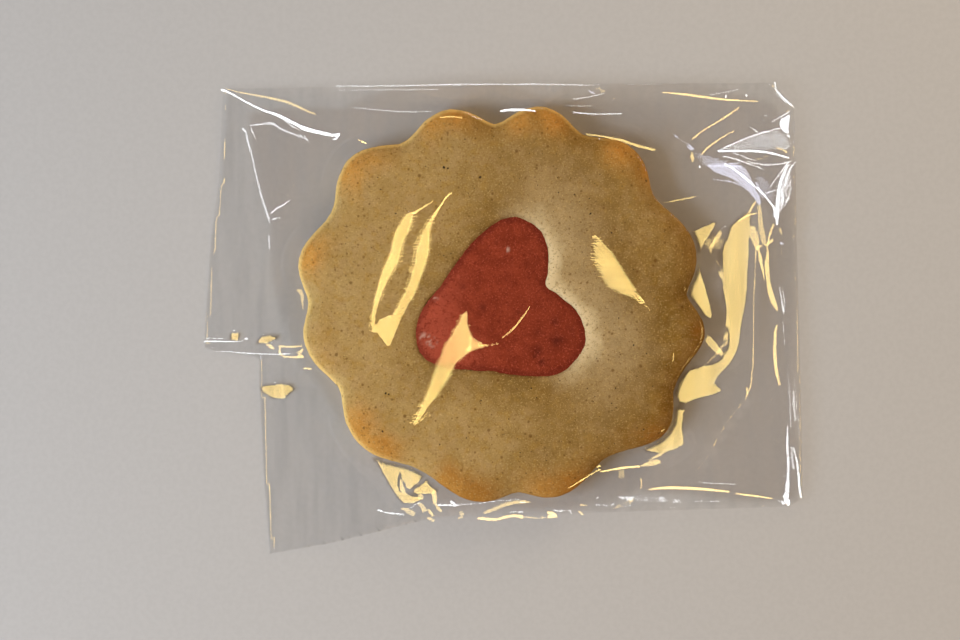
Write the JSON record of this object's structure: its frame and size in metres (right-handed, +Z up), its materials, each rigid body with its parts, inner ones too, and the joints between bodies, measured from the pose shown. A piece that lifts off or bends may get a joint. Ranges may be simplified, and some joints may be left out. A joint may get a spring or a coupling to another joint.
{
  "type": "raspberry sable cookie",
  "caption": "Round shortbread biscuit with a scalloped edge and an inlaid red dough heart, lying flat in a clear film bag.",
  "frame": {"origin": "under the middle of the bag's outline, on the surface it lies on", "axes": "+X along the bag's long side towards its closed end, +Y across the bag, +Z up out of the biscuit's shown face"},
  "size_m": [0.1324, 0.104, 0.0077],
  "materials": {
    "plain_dough": "baked shortbread, dry and matte, browned towards the scallops",
    "raspberry_dough": "baked red raspberry shortbread, dry and matte, fine crumb",
    "clear_film": "clear glossy film with sharp folds"
  },
  "bodies": {
    "root": {"plain_dough": "plain_dough", "raspberry_heart": "raspberry_dough", "film_bag": "clear_film"}
  },
  "joints": []
}
